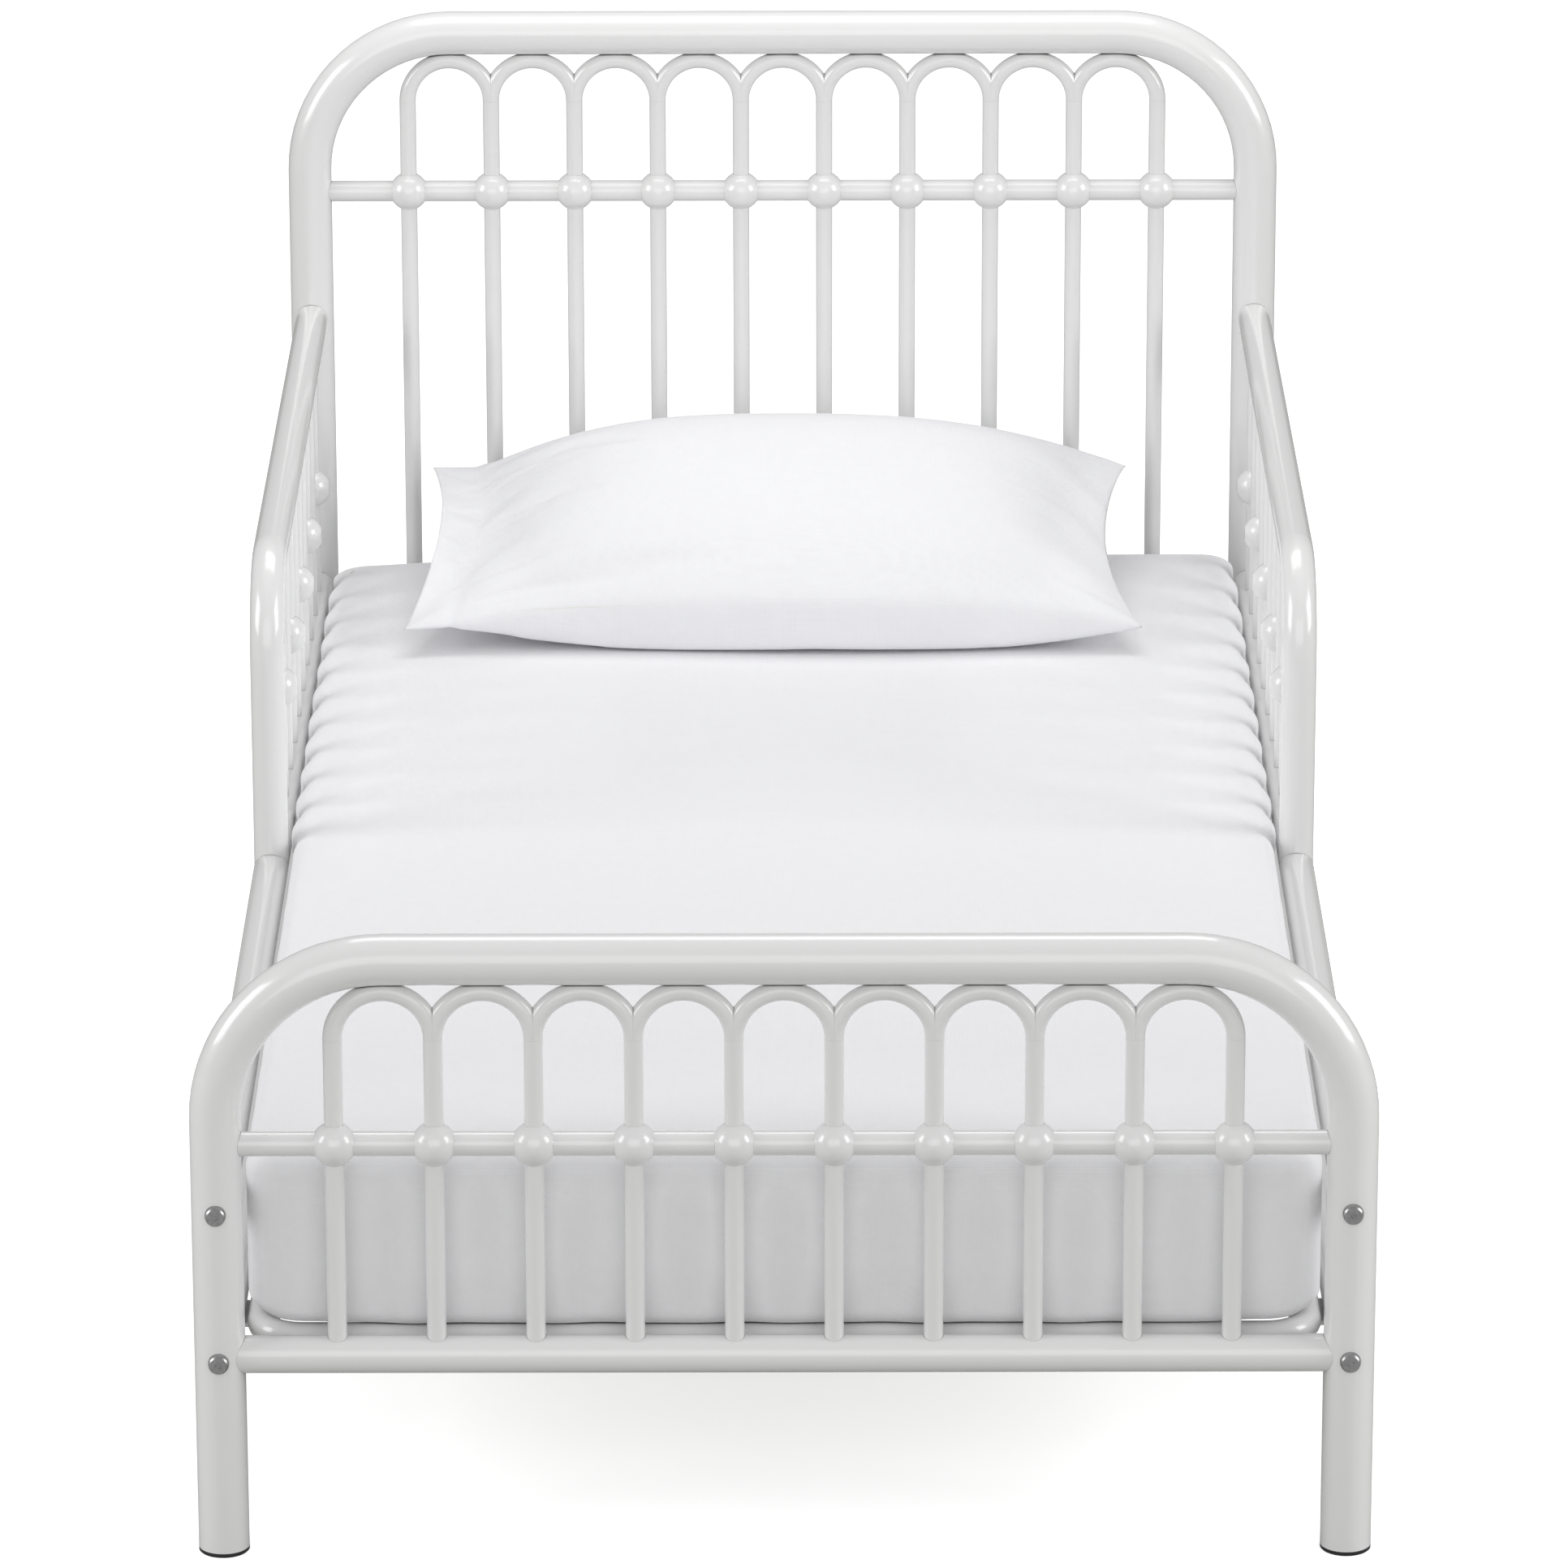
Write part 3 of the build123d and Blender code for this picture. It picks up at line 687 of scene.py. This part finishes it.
def settle(case, flat, order, columns, rows, open_end, look):
    """Runs the case as cloth cut to its flat size, pressed out by its filling on to the bed."""
    scene = bpy.context.scene
    case.shape_key_add(name="start")
    cut = case.shape_key_add(name="cut")
    cut.data.foreach_set("co", flat.astype(np.float32).ravel())

    corner = case.vertex_groups.new(name="corners")
    filled = case.vertex_groups.new(name="filled")
    seams = case.vertex_groups.new(name="seams")
    stitched = round(columns * open_end)
    for index, (i, j, _layer) in enumerate(order):
        if i in (stitched, columns) or j in (0, rows):
            seams.add([index], 1.0, "REPLACE")
        if i in (0, columns) and j in (0, rows):
            corner.add([index], 1.0, "REPLACE")
        share = float(ramp(np.array(i / columns), open_end * 0.8, open_end + 0.06))
        filled.add([index], share, "REPLACE")

    bed_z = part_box("pillowcase")[0].z
    bed = new_piece("settle_bed", [(-1, -1, bed_z), (1, -1, bed_z), (1, 2, bed_z), (-1, 2, bed_z)],
                    [(0, 1, 2, 3)], case.data.materials[0])
    wall_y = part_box("head_spindles")[0].y
    wall = new_piece("settle_wall", [(-1, wall_y, 0), (1, wall_y, 0), (1, wall_y, 1), (-1, wall_y, 1)],
                     [(3, 2, 1, 0)], case.data.materials[0])
    for stop in (bed, wall):
        stop.modifiers.new("stop", "COLLISION")
        stop.collision.thickness_outer = MM

    cloth = case.modifiers.new("cloth", "CLOTH")
    cloth.settings.quality = 6
    cloth.settings.mass = 0.00003
    cloth.settings.tension_stiffness = 30
    cloth.settings.compression_stiffness = 6
    cloth.settings.shear_stiffness = 4
    cloth.settings.bending_stiffness = 0.002
    cloth.settings.air_damping = 0.02
    cloth.settings.use_pressure = True
    cloth.settings.uniform_pressure_force = 0.0
    cloth.settings.pressure_factor = look.pressure
    cloth.settings.use_pressure_volume = True
    cloth.settings.target_volume = look.filling / 1000
    cloth.settings.vertex_group_pressure = "filled"
    cloth.settings.vertex_group_mass = "corners"
    cloth.settings.vertex_group_shrink = "seams"
    cloth.settings.shrink_min = 0.0
    cloth.settings.shrink_max = look.seam_pull
    cloth.settings.pin_stiffness = 1.0
    cloth.settings.rest_shape_key = cut
    cloth.settings.effector_weights.gravity = 0.15
    cloth.collision_settings.distance_min = MM
    cloth.point_cache.frame_start = 1
    cloth.point_cache.frame_end = look.frames
    for number in range(1, look.frames + 1):
        scene.frame_set(number)
    settled = case.evaluated_get(bpy.context.evaluated_depsgraph_get())
    points = np.array([p.co for p in settled.data.vertices])
    case.modifiers.remove(cloth)
    case.shape_key_clear()
    case.data.vertices.foreach_set("co", points.astype(np.float32).ravel())
    case.data.update()
    for group in (corner, filled, seams):
        case.vertex_groups.remove(group)
    for stop in (bed, wall):
        bpy.data.objects.remove(stop)
    scene.frame_set(1)


class BED_OT_stage(bpy.types.Operator):
    """Sets up the floor, the lights and the camera."""

    bl_idname = "toddler_bed.stage"
    bl_label = "Set the stage"

    def execute(self, context):
        scene = context.scene
        look = scene.bed_stage
        half = FLOOR_HALF
        corners = [(-half, -half, 0), (half, -half, 0), (half, half, 0), (-half, half, 0)]
        floor = new_piece("studio_floor", corners, [(0, 1, 2, 3)], floor_paint(), smooth=False)
        for softbox in SOFTBOXES:
            self.add_softbox(*softbox)

        world = bpy.data.worlds.new("studio")
        world.use_nodes = True
        tree = world.node_tree
        tree.nodes.clear()
        sky = add_node(tree, "ShaderNodeBackground",
                       inputs={"Color": (1.0, 1.0, 1.0, 1.0), "Strength": 0.42})
        add_node(tree, "ShaderNodeOutputWorld", links={"Surface": sky.outputs[0]})
        scene.world = world
        scene.view_settings.view_transform = "Standard"
        scene.view_settings.look = "None"
        scene.view_settings.exposure = 0.0
        scene.view_settings.gamma = 1.0

        data = bpy.data.cameras.new("camera")
        data.sensor_width = 36.0
        data.lens = look.lens
        data.clip_start, data.clip_end = 0.1, 60.0
        camera = bpy.data.objects.new("camera", data)
        scene.collection.objects.link(camera)
        place = Matrix.Translation((CAMERA_X, -look.distance, look.height))
        camera.matrix_world = (place @ Matrix.Rotation(math.pi / 2 - look.tilt, 4, "X")
                               @ Matrix.Rotation(look.roll, 4, "Z"))
        scene.camera = camera
        return {"FINISHED"}

    def add_softbox(self, name, place, aim, size, watts):
        """A rectangular lamp that lights the bed and isn't seen itself."""
        data = bpy.data.lights.new(name, "AREA")
        data.shape = "RECTANGLE"
        data.size, data.size_y = size
        data.energy = watts
        lamp = bpy.data.objects.new(name, data)
        bpy.context.scene.collection.objects.link(lamp)
        lamp.location = place
        lamp.visible_camera = False
        lamp.rotation_euler = (Vector(aim) - Vector(place)).to_track_quat("-Z", "Y").to_euler()


class BED_PT_panel(bpy.types.Panel):
    """Lists the steps that finish the bed."""

    bl_idname = "BED_PT_panel"
    bl_label = "Toddler Bed"
    bl_space_type = "VIEW_3D"
    bl_region_type = "UI"
    bl_category = "Toddler Bed"

    def draw(self, context):
        for group in ("bed_frame_finish", "bed_bedding", "bed_pillow", "bed_stage"):
            settings = getattr(context.scene, group)
            for prop in settings.bl_rna.properties:
                if not prop.is_readonly and prop.identifier != "name":
                    self.layout.prop(settings, prop.identifier)
        for step in STEPS:
            self.layout.operator(step.bl_idname)


STEPS = (BED_OT_stage, BED_OT_frame_coat, BED_OT_hardware, BED_OT_mattress, BED_OT_fitted_sheet,
         BED_OT_pillow)
GROUPS = {
    "bed_frame_finish": FrameFinish,
    "bed_bedding": BeddingLook,
    "bed_pillow": PillowLook,
    "bed_stage": StageSettings,
}


def register():
    for cls in (*GROUPS.values(), *STEPS, BED_PT_panel):
        bpy.utils.register_class(cls)
    for name, cls in GROUPS.items():
        setattr(bpy.types.Scene, name, bpy.props.PointerProperty(type=cls))


def unregister():
    for name in GROUPS:
        delattr(bpy.types.Scene, name)
    for cls in (BED_PT_panel, *reversed(STEPS), *GROUPS.values()):
        bpy.utils.unregister_class(cls)


def main():
    register()
    for step in STEPS:
        group, name = step.bl_idname.split(".")
        getattr(getattr(bpy.ops, group), name)()


if __name__ == "__main__":
    main()
